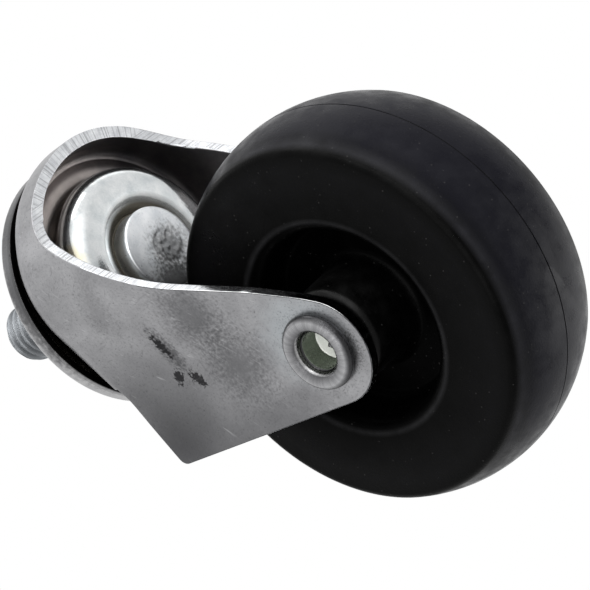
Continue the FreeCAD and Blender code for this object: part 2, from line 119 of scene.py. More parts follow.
def blend(material, amount, colour, other):
    """Mixes a colour with another one, by an amount."""
    return add_node(material, "ShaderNodeMix", {"data_type": "RGBA"}, in_0=amount, in_6=colour,
                    in_7=other).outputs[2]


def mottle(material, spot, size, detail, **inputs):
    """A soft irregular pattern, with a size in mm."""
    return add_node(material, "ShaderNodeTexNoise", Vector=spot, Scale=1 / (size * MM),
                    Detail=detail, **inputs).outputs[0]


def spread(material, spot, kept):
    """A position with only the axes that are kept, and its distance from the origin."""
    flat = add_node(material, "ShaderNodeVectorMath", {"operation": "MULTIPLY"}, in_0=spot,
                    in_1=kept).outputs[0]
    reach = add_node(material, "ShaderNodeVectorMath", {"operation": "LENGTH"}, in_0=flat)
    return flat, reach.outputs["Value"]


def plated(material, spot, dark, light, cloud=2.0, grain=0.25):
    """The colour and the grain of bright zinc: clouds between two shades. Sizes in mm."""
    clouds = mottle(material, spot, cloud, 3.0, Roughness=0.55)
    fine = mottle(material, spot, grain, 2.0, Roughness=0.6)
    both = calculate(material, "MULTIPLY_ADD", fine, 0.35, clouds)
    tone = ramp(material, both, 0.45, 0.9)
    return blend(material, tone, paint(dark), paint(light)), fine


def stain(material, spot, colour, shade, place, reach, strength=1.0, turn=0.0, rag=0.6, crumb=0.7,
          soft=0.4):
    """Adds a blotch to a colour, place and reach in mm. A large rag breaks it up into crumbs."""
    local = add_node(material, "ShaderNodeMapping", {"vector_type": "TEXTURE"}, Vector=spot,
                     Location=[v * MM for v in place], Rotation=(0, math.radians(turn), 0),
                     Scale=[v * MM for v in reach])
    ball = add_node(material, "ShaderNodeTexGradient", {"gradient_type": "SPHERICAL"},
                    Vector=local.outputs[0])
    crumbs = mottle(material, spot, crumb, 3.0)
    edge = calculate(material, "MULTIPLY_ADD", crumbs, rag, ball.outputs["Fac"])
    middle = 0.45 + rag / 2
    amount = add_node(material, "ShaderNodeMapRange", {"interpolation_type": "SMOOTHSTEP"},
                      Value=edge, From_Min=middle - soft / 2, From_Max=middle + soft / 2,
                      To_Max=strength)
    return blend(material, amount.outputs[0], colour, paint(shade))


def finish_metal(material, colour, roughness, height, depth, metallic=1.0):
    """Ends a metal's tree: its bump, with its depth in mm, its shader and the output."""
    bump = add_node(material, "ShaderNodeBump", Strength=1.0, Distance=depth * MM, Height=height)
    surface = add_node(material, "ShaderNodeBsdfPrincipled", Base_Color=colour,
                       Roughness=roughness, Normal=bump.outputs[0], Metallic=metallic)
    add_node(material, "ShaderNodeOutputMaterial", Surface=surface.outputs[0])


def pick(piece):
    """Makes a piece the only one selected."""
    bpy.ops.object.select_all(action="DESELECT")
    piece.select_set(True)
    bpy.context.view_layer.objects.active = piece


def shade_smooth(piece, corner):
    """Shades a piece smooth, except at corners that are sharper than an angle in degrees."""
    pick(piece)
    bpy.ops.object.shade_smooth_by_angle(angle=math.radians(corner))


def turned(name, profile, steps):
    """A piece turned about the Z axis in steps, from its outline, (radius, height) in mm."""
    bpy.ops.object.select_all(action="DESELECT")
    start = (profile[0][0] * MM, 0, profile[0][1] * MM)
    bpy.ops.mesh.primitive_plane_add(size=MM, location=start)
    piece = bpy.context.object
    piece.name = name
    bpy.ops.object.transform_apply(location=True, rotation=False, scale=False)
    bpy.ops.object.mode_set(mode="EDIT")
    bpy.ops.mesh.select_mode(type="VERT")
    bpy.ops.mesh.select_all(action="SELECT")
    bpy.ops.mesh.merge(type="CENTER")
    for start, end in zip(profile, profile[1:]):
        move = ((end[0] - start[0]) * MM, 0, (end[1] - start[1]) * MM)
        bpy.ops.mesh.extrude_region_move(TRANSFORM_OT_translate={"value": move})
    bpy.ops.mesh.select_all(action="SELECT")
    bpy.ops.mesh.spin(steps=steps, angle=math.tau, center=(0, 0, 0), axis=(0, 0, 1))
    bpy.ops.mesh.select_all(action="SELECT")
    bpy.ops.mesh.remove_doubles(threshold=0.002 * MM)
    bpy.ops.mesh.normals_make_consistent(inside=False)
    bpy.ops.object.mode_set(mode="OBJECT")
    return piece


STEM_TOP = 19.9
STEM_RADIUS = 3.98
STEM_ROWS = 160
ROWS_TOP = 19.6
ROWS_END = 0.05
THREAD_PITCH = 1.25
THREAD_RADIUS = 3.97
THREAD_DEPTH = 0.74
THREAD_CORE = 3.5
RUN_OUT_START = 0.6
RUN_OUT = 1.0
TIP_RADIUS = 3.1
TIP_ROUNDING = 0.9
TIP_LENGTH = 1.3
HEAD_FACE = -11.63
HEAD_RING = 0.125
SWIRL = Vector((-0.5, 1.2))
SWIRL_RADIUS = 2.7
SWIRL_FADE = 0.5
SWIRL_HEIGHT = 0.06
SWIRL_RELIEF = 0.07
SWIRL_TIGHTNESS = 4.2
ROUGHNESS_RATE = 1.4
PIN_STEPS = 96
tip = [(0, STEM_TOP), (1.5, STEM_TOP), (2.7, STEM_TOP - 0.02), (3.0, STEM_TOP - 0.12)]
stem = [(STEM_RADIUS, ROWS_TOP - (ROWS_TOP - ROWS_END) * row / STEM_ROWS)
        for row in range(STEM_ROWS + 1)]
seats = [(4.0, 0), (4.4, 0), (4.4, -1.1), (5.0, -1.1), (5.0, -7.9), (3.5, -7.9), (3.5, -8.88)]
head = [(5.3, -8.88), (5.44, -8.95), (5.5, -9.1), (5.5, -11.35), (5.45, -11.5), (5.33, -11.59),
        (5.2, -11.625), (5.08, HEAD_FACE)]
head += [(4.0 - HEAD_RING * ring, HEAD_FACE) for ring in range(33)]
kingpin = turned("kingpin_threaded", tip + stem + seats + head, PIN_STEPS)
for vertex in kingpin.data.vertices:
    x, y, z = (v / MM for v in vertex.co)
    radius = math.hypot(x, y)
    out = math.hypot(x - SWIRL.x, y - SWIRL.y)
    on_stem = z > 0.02 and radius > THREAD_CORE
    in_swirl = z < HEAD_FACE + 0.2 and out < SWIRL_RADIUS
    if on_stem:
        turns = z / THREAD_PITCH - math.atan2(y, x) / math.tau
        wave = 0.5 - 0.5 * math.cos(math.tau * turns)
        valley = THREAD_DEPTH * wave * min(max((z - RUN_OUT_START) / RUN_OUT, 0), 1)
        below_tip = min((STEM_TOP - 0.2 - z) / TIP_LENGTH, 1)
        rounded_tip = TIP_RADIUS + TIP_ROUNDING * math.sin(below_tip * math.pi / 2)
        factor = min(THREAD_RADIUS - valley, rounded_tip) / radius
        vertex.co = (x * factor * MM, y * factor * MM, vertex.co.z)
    elif in_swirl:
        fade = min((SWIRL_RADIUS - out) / SWIRL_FADE, 1)
        turn = math.atan2(y - SWIRL.y, x - SWIRL.x)
        bend = 2 * turn + 2 * noise.noise(Vector((x, y, 1.0)))
        swirl = math.sin(out * SWIRL_TIGHTNESS + bend)
        pits = noise.noise(Vector((x * ROUGHNESS_RATE, y * ROUGHNESS_RATE, 3.0)))
        rough = 0.3 * swirl + pits
        vertex.co.z += max((SWIRL_HEIGHT + SWIRL_RELIEF * rough) * fade, 0) * MM
shade_smooth(kingpin, 35)

turned_zinc, spot = new_material("zinc_plated_turned_steel")
colour, grain = plated(turned_zinc, spot, "D2D6DA", "EEF0F2", cloud=1.6)
for shade, place, reach, strength, rag, crumb, soft in (
        ("585858", (-0.7, 1.0, HEAD_FACE), (5.0, 5.0, 1.3), 0.75, 0.9, 0.45, 0.6),
        ("3E3E3C", (-4.4, -1.2, HEAD_FACE), (5.4, 5.4, 1.6), 0.75, 1.0, 0.45, 0.6),
        ("7A7D80", (0, 0, STEM_TOP), (14, 14, 40), 1.0, 0.1, 3.0, 0.6)):
    colour = stain(turned_zinc, spot, colour, shade, place, reach, strength, 0, rag, crumb, soft)
reach = spread(turned_zinc, spot, (1, 1, 0))[1]
rings = add_node(turned_zinc, "ShaderNodeTexNoise", {"noise_dimensions": "1D"}, W=reach,
                 Scale=1 / (0.22 * MM), Detail=2.0)
marks = calculate(turned_zinc, "ADD", rings.outputs[0], grain)
gloss = ramp(turned_zinc, grain, 0.3, 0.7, 0.27, 0.34)
finish_metal(turned_zinc, colour, gloss, marks, 0.002)
kingpin.data.materials.append(turned_zinc)
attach(kingpin, "base")
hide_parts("kingpin")


# The top cap: the upper race, a pressed steel disc with a turned-down lip, zinc plated. Its outside
# is darker along the lip, and the inside of the lip and the disc's underside are painted near black
# as shade.
def copy_of(node, name):
    """A new piece from a CAD node's mesh: one closed skin, with its flat facets joined."""
    piece = bpy.data.objects.new(name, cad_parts[node].data.copy())
    bpy.context.scene.collection.objects.link(piece)
    piece.data.materials.clear()
    pick(piece)
    bpy.ops.mesh.customdata_custom_splitnormals_clear()
    bpy.ops.object.mode_set(mode="EDIT")
    bpy.ops.mesh.select_all(action="SELECT")
    bpy.ops.mesh.remove_doubles(threshold=0.001 * MM)
    bpy.ops.mesh.select_mode(type="FACE")
    bpy.ops.mesh.select_all(action="DESELECT")
    bpy.ops.object.mode_set(mode="OBJECT")
    # Level faces stay as they are: joined into one, the fork's would close its ball channel.
    for face in piece.data.polygons:
        face.select = abs(face.normal.z) < 0.99
    bpy.ops.object.mode_set(mode="EDIT")
    bpy.ops.mesh.dissolve_limited(angle_limit=math.radians(0.3))
    bpy.ops.object.mode_set(mode="OBJECT")
    return piece


def apply_all(piece):
    """Applies a piece's modifiers, in their order."""
    pick(piece)
    for modifier in list(piece.modifiers):
        bpy.ops.object.modifier_apply(modifier=modifier.name)


def soften(piece, width, corner=40):
    """Rounds the sharp edges of a piece, a width in mm, as tumbling and plating leave them."""
    worn = piece.modifiers.new("worn_edges", "BEVEL")
    worn.width = width * MM
    worn.segments = 2
    worn.limit_method = "ANGLE"
    worn.angle_limit = math.radians(corner)
    worn.use_clamp_overlap = False
    apply_all(piece)
    shade_smooth(piece, corner + 8)
    even = piece.modifiers.new("even_shading", "WEIGHTED_NORMAL")
    even.keep_sharp = True
    apply_all(piece)


CAP_EDGE_WEAR = 0.16
LIP_INSIDE = 16.45
LIP_MIDDLE = 16.65
LIP_START = -1.8
DISC_UNDERSIDE = -1.6
cap = copy_of("top_cap", "top_cap_pressed")
soften(cap, CAP_EDGE_WEAR)

cap_zinc, spot = new_material("zinc_plated_cap")
colour, grain = plated(cap_zinc, spot, "9C9C9E", "B6B6B6", cloud=3.0)
colour = stain(cap_zinc, spot, colour, "4A4A4C", (12.5, -10.5, -1.9), (34, 34, 2.7), 0.85,
               rag=0.5, crumb=0.6)
reach = spread(cap_zinc, spot, (1, 1, 0))[1]
height = add_node(cap_zinc, "ShaderNodeSeparateXYZ", Vector=spot).outputs["Z"]
# Painted shade: inside the lip, below where the lip starts, the colour is painted near black.
inside_lip = ramp(cap_zinc, reach, LIP_INSIDE * MM, LIP_MIDDLE * MM, 1.0, 0.0)
under_lip = calculate(cap_zinc, "LESS_THAN", height, LIP_START * MM)
painted_lip_shade = calculate(cap_zinc, "MULTIPLY", inside_lip, under_lip)
colour = blend(cap_zinc, painted_lip_shade, colour, paint("121110"))
gloss = ramp(cap_zinc, grain, 0.3, 0.7, 0.26, 0.4)
finish_metal(cap_zinc, colour, gloss, grain, 0.02)
cap.data.materials.append(cap_zinc)

# Painted shade: the faces that face the pin and the disc's underside get this dark material.
cap_inner_shade, spot = new_material("zinc_under_old_grease")
colour, grain = plated(cap_inner_shade, spot, "1C1A18", "343230", cloud=1.5)
finish_metal(cap_inner_shade, colour, 0.35, grain, 0.01)
cap.data.materials.append(cap_inner_shade)
for face in cap.data.polygons:
    outwards = Vector((face.center.x, face.center.y, 0)).normalized()
    faces_pin = face.normal.dot(outwards) < -0.3
    if faces_pin or (face.normal.z < -0.5 and face.center.z > DISC_UNDERSIDE * MM):
        face.material_index = 1
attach(cap, "base")
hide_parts("top_cap")


# The balls: 30 in the upper ring and 11 in the lower one, of hardened bearing steel, ground and
# lapped, so they mirror what is round them through a film of grease.
def dress(node, material):
    """Gives a CAD node a material in each of its slots."""
    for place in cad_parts[node].material_slots:
        place.material = material


ball_steel, spot = new_material("lapped_bearing_steel")
film = mottle(ball_steel, spot, 0.8, 2.0)
colour = blend(ball_steel, film, paint("8E8A80"), paint("C2C2C0"))
finish_metal(ball_steel, colour, ramp(ball_steel, film, 0, 1, 0.08, 0.3), film, 0.002)
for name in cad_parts:
    if name.startswith(("upper_ball", "lower_ball")):
        dress(name, ball_steel)


# The fork: one steel sheet, 1.6 mm thick, blanked, pressed and bent to crown, skirt and legs, then
# barrel plated with bright zinc. Rolled sheet stays satin under the plating, cool grey and cloudy,
# with hairlines, specks and smudges; painted shade darkens the near leg towards the heel and a
# painted highlight lightens it by the rivet. The blanked edge is brighter, with rungs that the
# shear tore. Painted highlights and painted dark reflections line the rounded edges, and the inner
# faces are painted dark as shade.
def half_plan(x):
    """The outer half width of the fork's plan at x: legs, taper, then the round front. In mm."""
    tapered = LEG_HALF + max(x - TAPER_START, 0) * TAPER
    return min(tapered, math.sqrt(max(PLAN_RADIUS ** 2 - max(x, 0) ** 2, 0)))


def plan_outward(x, y):
    """The direction out of the fork's plan at a place: across a leg, its taper or the front."""
    side = 1 if y > 0 else -1
    if x < TAPER_START:
        return Vector((0, side, 0))
    if x < FRONT_START:
        return Vector((-math.sin(TAPER_ANGLE), side * math.cos(TAPER_ANGLE), 0))
    return Vector((x, y, 0)).normalized()


SKIRT_RIM = -8.9
LEG_HALF = 13.9
TAPER_START = -13.5
TAPER_ANGLE = math.radians(14.5)
TAPER = math.tan(TAPER_ANGLE)
FRONT_START = 4.4
PLAN_RADIUS = 17.6
HEEL = Vector((-23.4, -7.1))
HEEL_NEAR = 0.5
HEEL_RADIUS = 0.9
ROLLOVER = 0.38
ROLLOVER_DROP = 0.5
OUTER_BAND = 0.8
HOLE_X = -19.5
HOLE_Z = -38.3
HOLE_SURROUND = 5
FORK_EDGE_WEAR = 0.12
fork = copy_of("fork", "fork_sheet")
bpy.ops.object.mode_set(mode="EDIT")
bpy.ops.mesh.select_mode(type="EDGE")
bpy.ops.mesh.select_all(action="DESELECT")
bpy.ops.object.mode_set(mode="OBJECT")
for edge in fork.data.edges:
    ends = [fork.data.vertices[index].co / MM for index in edge.vertices]
    at_heel = all((Vector((end.x, end.z)) - HEEL).length < HEEL_NEAR for end in ends)
    through_sheet = abs(ends[0].y - ends[1].y) > 1
    edge.select = at_heel and through_sheet
bpy.ops.object.mode_set(mode="EDIT")
bpy.ops.mesh.bevel(offset=HEEL_RADIUS * MM, segments=5, clamp_overlap=False)
bpy.ops.mesh.select_all(action="DESELECT")
bpy.ops.mesh.edges_select_sharp(sharpness=math.radians(50))
bpy.ops.object.mode_set(mode="OBJECT")
for edge in fork.data.edges:
    for index in edge.vertices:
        x, y, z = (v / MM for v in fork.data.vertices[index].co)
        by_hole = math.hypot(x - HOLE_X, z - HOLE_Z) < HOLE_SURROUND
        outside = abs(y) > half_plan(x) - OUTER_BAND
        if z > SKIRT_RIM - ROLLOVER_DROP or outside or by_hole:
            edge.select = False
bpy.ops.object.mode_set(mode="EDIT")
bpy.ops.mesh.bevel(offset=ROLLOVER * MM, segments=3, clamp_overlap=False)
bpy.ops.object.mode_set(mode="OBJECT")
soften(fork, FORK_EDGE_WEAR)


def specked(material, spot, colour, shade, apart, start, end):
    """Adds specks to a colour, some way apart in mm, with their size as shares of that."""
    cells = add_node(material, "ShaderNodeTexVoronoi", Vector=spot, Scale=1 / (apart * MM))
    amount = ramp(material, cells.outputs["Distance"], start, end, 0.35, 0.0)
    return blend(material, amount, colour, paint(shade))


sheet_zinc, spot = new_material("zinc_plated_rolled_sheet")
colour, grain = plated(sheet_zinc, spot, "8C8C8E", "A6A6A8", cloud=4.0, grain=0.3)
# Painted light among the stains: the first two rows are painted shade, darker towards the heel and
# down the trailing edge, and the pale blue-grey row by the rivet is a painted highlight. The other
# rows are smudges, marks and grime.
for shade, place, reach, strength, turn, rag, crumb, soft in (
        ("343436", (-21.2, -13.9, -8.6), (19, 9, 20), 0.87, 0, 0.2, 2.0, 1.3),
        ("4C4C4E", (-25.0, -13.9, -26.0), (7, 3, 15), 0.5, 0, 0.5, 1.5, 0.9),
        ("48484A", (-8.0, -15.2, -25.0), (8, 4, 6.5), 0.65, 15, 1.1, 0.4, 0.9),
        ("464648", (-16.0, -13.9, -25.5), (8, 4, 7), 0.6, 0, 1.3, 0.4, 0.9),
        ("545456", (-1.0, -16.8, -13.5), (6, 4, 3.5), 0.3, 20, 1.5, 0.35, 0.9),
        ("B8C0C4", (-17.0, -13.9, -37.5), (8, 3, 9), 0.5, 0, 0.4, 2.0, 0.9),
        ("3C3C3E", (-10.4, -14.8, -17.4), (6.2, 3, 1.9), 0.7, 4, 1.4, 0.35, 0.7),
        ("121214", (-9.2, -14.8, -17.2), (3.4, 3, 1.0), 0.9, 4, 1.5, 0.35, 0.3),
        ("121214", (-13.7, -13.9, -15.5), (1.9, 2, 1.2), 0.9, 30, 1.5, 0.35, 0.3),
        ("121214", (-15.0, -13.9, -18.2), (2.1, 2, 1.2), 0.9, -20, 1.5, 0.35, 0.3),
        ("3A3A3C", (-21.2, -13.9, -42.4), (3.6, 2, 2.6), 0.45, 25, 2.2, 0.22, 0.5),
        ("3A3A3C", (-19.5, -13.9, -38.3), (7.0, 2, 7.0), 0.45, 0, 1.8, 0.22, 0.6)):
    colour = stain(sheet_zinc, spot, colour, shade, place, reach, strength, turn, rag, crumb, soft)
colour = specked(sheet_zinc, spot, colour, "3C3C3E", 1.9, 0.03, 0.08)
for turn, shade in ((50, "505052"), (-30, "D0D0D2"), (85, "5A5A5C")):
    combed = add_node(sheet_zinc, "ShaderNodeMapping", {"vector_type": "TEXTURE"}, Vector=spot,
                      Rotation=(0, math.radians(turn), 0), Scale=(9, 1, 1))
    hairs = mottle(sheet_zinc, combed.outputs[0], 0.42, 1.5, Distortion=0.15)
    hairlines = ramp(sheet_zinc, hairs, 0.67, 0.78, 0.0, 0.25)
    colour = blend(sheet_zinc, hairlines, colour, paint(shade))
gloss = ramp(sheet_zinc, grain, 0.3, 0.7, 0.34, 0.46)
finish_metal(sheet_zinc, colour, gloss, grain, 0.012)
fork.data.materials.append(sheet_zinc)

RIM_RUNGS_RADIUS = 17
sheared_zinc, spot = new_material("zinc_plated_sheared_edge")
colour, grain = plated(sheared_zinc, spot, "CACCD0", "F0F2F4", cloud=1.2, grain=0.2)
# Painted reflection: the cut edge round the leg's end is painted near black, for the dark wheel
# that it mirrors.
colour = stain(sheared_zinc, spot, colour, "101010", (-18.5, -14.0, -42.0), (14, 6, 10), 0.97,
               rag=0.5, crumb=0.8)
height = add_node(sheared_zinc, "ShaderNodeSeparateXYZ", Vector=spot).outputs["Z"]
on_rim = calculate(sheared_zinc, "GREATER_THAN", height, (SKIRT_RIM - 0.05) * MM)
across_leg = spread(sheared_zinc, spot, (1, 0, 1))[0]
around = add_node(sheared_zinc, "ShaderNodeVectorMath", {"operation": "NORMALIZE"},
                  in_0=spread(sheared_zinc, spot, (1, 1, 0))[0])
across_rim = add_node(sheared_zinc, "ShaderNodeVectorMath", {"operation": "SCALE"},
                      in_0=around.outputs[0], Scale=RIM_RUNGS_RADIUS * MM)
rung_spot = add_node(sheared_zinc, "ShaderNodeMix", {"data_type": "VECTOR"}, in_0=on_rim,
                     in_4=across_leg, in_5=across_rim.outputs[0])
rungs = mottle(sheared_zinc, rung_spot.outputs[1], 0.24, 2.0, Roughness=0.6)
tears = ramp(sheared_zinc, rungs, 0.38, 0.48, 0.5, 0.0)
colour = blend(sheared_zinc, tears, colour, paint("6C6C70"))
relief = calculate(sheared_zinc, "MULTIPLY_ADD", grain, 0.25, rungs)
gloss = ramp(sheared_zinc, grain, 0.3, 0.7, 0.14, 0.24)
finish_metal(sheared_zinc, colour, gloss, relief, 0.05)
fork.data.materials.append(sheared_zinc)

# Painted reflection: a dark line along the rounded edges of the sheet, for the dark that their
# roll-over mirrors.
dark_edge_paint, spot = new_material("painted_dark_reflection_on_edges")
colour, grain = plated(dark_edge_paint, spot, "2A2A2C", "5A5A5C", cloud=0.8)
finish_metal(dark_edge_paint, colour, 0.4, grain, 0.01)
fork.data.materials.append(dark_edge_paint)

# Painted shade: the fork's inner faces and the crown's underside are painted dark, for shade and
# the dark that they mirror, with a paler pinkish patch under the crown.
inner_shade_zinc, spot = new_material("zinc_plated_sheet_with_old_grease")
colour, grain = plated(inner_shade_zinc, spot, "545254", "6C6868", cloud=3.0)
colour = stain(inner_shade_zinc, spot, colour, "A49C98", (9.5, -4.0, -4.6), (13, 17, 2.4), 0.95,
               rag=0.4, crumb=2.0, soft=0.7)
finish_metal(inner_shade_zinc, colour, 0.32, grain, 0.01)
fork.data.materials.append(inner_shade_zinc)

# Painted highlight: a bright line on the rounded leading edge of the leg, painted darker near the
# leg's round end as the reflection of the dark wheel.
lit_edge_paint, spot = new_material("zinc_plated_worn_corner")
colour, grain = plated(lit_edge_paint, spot, "DCDEE0", "FAFAFA", cloud=1.0)
colour = stain(lit_edge_paint, spot, colour, "262628", (-18.5, -13.9, -45.2), (4, 3, 4), 1.0,
               rag=0.9, crumb=0.5, soft=0.9)
finish_metal(lit_edge_paint, colour, 0.25, grain, 0.01)
fork.data.materials.append(lit_edge_paint)

SHEARED, PAINTED_DARK_EDGE, INSIDE, PAINTED_LIT_EDGE = range(1, 5)
STRIP_WIDTH = 0.2
CROWN_RADIUS = 16.2
CROWN_UNDERSIDE = -4.7
CROWN_TOP = -3.0
BRIGHT_CORNER_TOP = -26
# The faces' materials: the sheared edge; a painted dark line of reflection and a painted highlight
# line on the rounded edges; painted shade on the inner faces.
for face in fork.data.polygons:
    x, y, z = (v / MM for v in face.center)
    radius = math.hypot(x, y)
    corners = [fork.data.vertices[index].co for index in face.vertices]
    girth = sum((one - other).length for one, other in zip(corners, corners[1:] + corners[:1]))
    is_strip = 2 * face.area / girth < STRIP_WIDTH * MM
    outward = face.normal.dot(plan_outward(x, y))
    along_z = face.normal.z
    at_crown = CROWN_UNDERSIDE < z < CROWN_TOP and abs(radius - CROWN_RADIUS) < 0.2
    below_crown = z < CROWN_UNDERSIDE - 0.05 or abs(along_z) < 0.5
    is_cut = (
        (abs(z - SKIRT_RIM) < 0.04 and along_z < -0.9)
        or (x < 0 and abs(along_z) < 0.3 and at_crown)
        or (x < 0 and radius > 15.5 and abs(outward) < 0.5 and below_crown)
        or (z < SKIRT_RIM - 0.05 and (abs(outward) < 0.45 or (is_strip and -0.93 < outward < 0))))
    leads = face.normal.x > 0.1
    if is_strip and leads and z < BRIGHT_CORNER_TOP and 0.15 < outward < 0.97:
        face.material_index = PAINTED_DARK_EDGE if outward > 0.65 else PAINTED_LIT_EDGE
    elif is_cut:
        face.material_index = SHEARED
    elif is_strip and face.normal.x < 0.1 and z < SKIRT_RIM - 1 and 0.45 <= outward < 0.93:
        face.material_index = PAINTED_DARK_EDGE
    elif outward < -0.45 or (along_z < -0.3 and z > -6.5 and radius < 16):
        face.material_index = INSIDE
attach(fork, "fork")
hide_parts("fork")

# The lower race: a steel cup pressed round the lower balls and held by the kingpin's head, zinc
# plated. Forming has left its outside bright and smooth. A warm painted highlight lies on the dome
# and a painted brownish reflection of the crown along the top of the outer wall, and its recess is
# brown with old dirt.
RECESS_REACH = 6.6
RECESS_EDGE = 8.1
cup_zinc, spot = new_material("zinc_plated_pressed_cup")
colour, grain = plated(cup_zinc, spot, "CED4D6", "F4F6F6", cloud=2.2)
# Painted light: the warm pale patch is a painted highlight on the dome, and the brownish one a
# painted reflection of the crown along the top of the outer wall.
for shade, place, reach, strength, soft in (
        ("EADFBC", (5.4, -10.6, -8.6), (3.4, 2.6, 3.0), 0.7, 0.6),
        ("7A6A58", (8.0, -9.5, -5.8), (7, 7, 1.6), 0.6, 0.5)):
    colour = stain(cup_zinc, spot, colour, shade, place, reach, strength, soft=soft)
reach = spread(cup_zinc, spot, (1, 1, 0))[1]
dirty = ramp(cup_zinc, reach, RECESS_REACH * MM, RECESS_EDGE * MM, 0.95, 0.0)
colour = blend(cup_zinc, dirty, colour, paint("322A16"))
gloss = ramp(cup_zinc, grain, 0.3, 0.7, 0.12, 0.2)
finish_metal(cup_zinc, colour, gloss, grain, 0.005, ramp(cup_zinc, dirty, 0, 1, 1.0, 0.6))
dress("lower_race_cup", cup_zinc)

# The sleeve: a cut steel tube between the legs, which the wheel turns on. It is plain drawn tube,
# satin grey, and the hub hides nearly all of it.
tube_steel, spot = new_material("drawn_steel_tube")
colour, grain = plated(tube_steel, spot, "7E7E80", "A4A4A4", cloud=1.5)
finish_metal(tube_steel, colour, ramp(tube_steel, grain, 0, 1, 0.3, 0.5), grain, 0.01)
dress("axle_sleeve", tube_steel)


# The wheel: one piece of black plastic, injection moulded, worn satin. The two halves of the mould
# left a thin parting line round the middle of the tread. Rolling has scuffed the tread lighter.
# Rings of painted light run round it: painted shade darkens the deep recess round the hub nearly
# to black, a painted highlight rings the recess's mouth, and each shoulder has a painted dark band
# and a painted highlight.
def tones(material, value, stops):
    """A colour that runs through stops, (position, shade), as a value grows from 0 to 1."""
    band = add_node(material, "ShaderNodeValToRGB", Fac=value)
    elements = band.color_ramp.elements
    for end, (position, shade) in ((0, stops[0]), (-1, stops[-1])):
        elements[end].position = position
        elements[end].color = paint(shade)
    for position, shade in stops[1:-1]:
        elements.new(position).color = paint(shade)
    return band.outputs["Color"]


def about_axle(material, spot):
    """The position from the axle's middle, the same without its depth, and the radius."""
    from_axle = add_node(material, "ShaderNodeVectorMath", {"operation": "SUBTRACT"}, in_0=spot,
                         in_1=AXLE * MM).outputs[0]
    return from_axle, *spread(material, from_axle, (1, 0, 1))


AXLE = Vector((-19.5, 0, -38.3))
WHEEL_RADIUS = 25
PARTING_GROOVE = 0.12
PARTING_HALF = 0.1
PARTING_DARK = 0.05
PARTING_PALE = 0.11
RIM_START = 23.6
RIM_END = 24.2
TREAD_HALF = 4.5
TREAD_END = 8.0
HUB_RADIUS = 6.6
HUB_END = 7.4
SHEEN_START = 12
SHEEN_END = 24
wheel = copy_of("wheel", "wheel_moulded")
bpy.ops.object.mode_set(mode="EDIT")
for level in (-PARTING_HALF, 0, PARTING_HALF):
    bpy.ops.mesh.select_all(action="SELECT")
    bpy.ops.mesh.bisect(plane_co=(0, level * MM, 0), plane_no=(0, 1, 0))
bpy.ops.object.mode_set(mode="OBJECT")
for vertex in wheel.data.vertices:
    spoke = vertex.co / MM - AXLE
    radius = math.hypot(spoke.x, spoke.z)
    on_parting_line = abs(spoke.y) < 0.01 and radius > WHEEL_RADIUS - 0.2
    if on_parting_line:
        factor = (radius - PARTING_GROOVE) / radius
        vertex.co = (AXLE + Vector((spoke.x * factor, spoke.y, spoke.z * factor))) * MM
shade_smooth(wheel, 32)

black_plastic, spot = new_material("black_moulded_plastic")
reach = about_axle(black_plastic, spot)[2]
wear = mottle(black_plastic, spot, 2.5, 4.0, Roughness=0.6)
grain = mottle(black_plastic, spot, 0.3, 2.0)
outwards = calculate(black_plastic, "DIVIDE", reach, WHEEL_RADIUS * MM)
# Painted light in rings round the axle: painted shade in the deep recess, a painted highlight at
# its mouth, then the face, then a painted dark band and a painted highlight on the shoulder.
bands_with_painted_light = tones(black_plastic, outwards, [(radius / WHEEL_RADIUS, shade) for radius, shade in (
    (0, "000000"), (12.8, "010101"), (13.5, "030303"), (13.95, "222223"), (14.5, "080808"),
    (20.6, "0A0A0B"), (22.4, "010101"), (23.05, "020202"), (23.4, "232326"), (23.9, "101014"),
    (25, "101014"))])
colour = blend(black_plastic, wear, bands_with_painted_light, paint("020202"))
depth = add_node(black_plastic, "ShaderNodeSeparateXYZ", Vector=spot).outputs["Y"]
aside = calculate(black_plastic, "ABSOLUTE", depth)
on_rim = ramp(black_plastic, reach, RIM_START * MM, RIM_END * MM)
on_tread = ramp(black_plastic, aside, TREAD_HALF * MM, TREAD_END * MM, 1.0, 0.0)
on_tread = calculate(black_plastic, "MULTIPLY", on_tread, on_rim)
scuffed = ramp(black_plastic, wear, 0.4, 0.65, 0.75, 1.0)
rolled = calculate(black_plastic, "MULTIPLY", on_tread, scuffed)
colour = blend(black_plastic, rolled, colour, paint("121216"))
colour = stain(black_plastic, spot, colour, "4A4A4A", (-9.5, -8.5, -17.2), (2.6, 2, 1.8), 0.6,
               rag=1.4, crumb=0.4)
parting = ramp(black_plastic, aside, PARTING_DARK * MM, PARTING_PALE * MM, 0.85, 0.0)
colour = blend(black_plastic, parting, colour, paint("020202"))
colour = specked(black_plastic, spot, colour, "3A3938", 1.3, 0.05, 0.09)
gloss = ramp(black_plastic, wear, 0.35, 0.65, 0.24, 0.44)
bump = add_node(black_plastic, "ShaderNodeBump", Strength=1.0, Distance=0.02 * MM, Height=grain)
sheen = ramp(black_plastic, reach, SHEEN_START * MM, SHEEN_END * MM, 0.012, 0.055)
on_hub = ramp(black_plastic, reach, HUB_RADIUS * MM, HUB_END * MM, 0.14, 0.0)
sheen = calculate(black_plastic, "ADD", sheen, on_hub)
surface = add_node(black_plastic, "ShaderNodeBsdfPrincipled", Base_Color=colour, Roughness=gloss,
                   Normal=bump.outputs[0], IOR=1.49, Specular_IOR_Level=sheen)
add_node(black_plastic, "ShaderNodeOutputMaterial", Surface=surface.outputs[0])
wheel.data.materials.append(black_plastic)
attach(wheel, "wheel")
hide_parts("wheel")

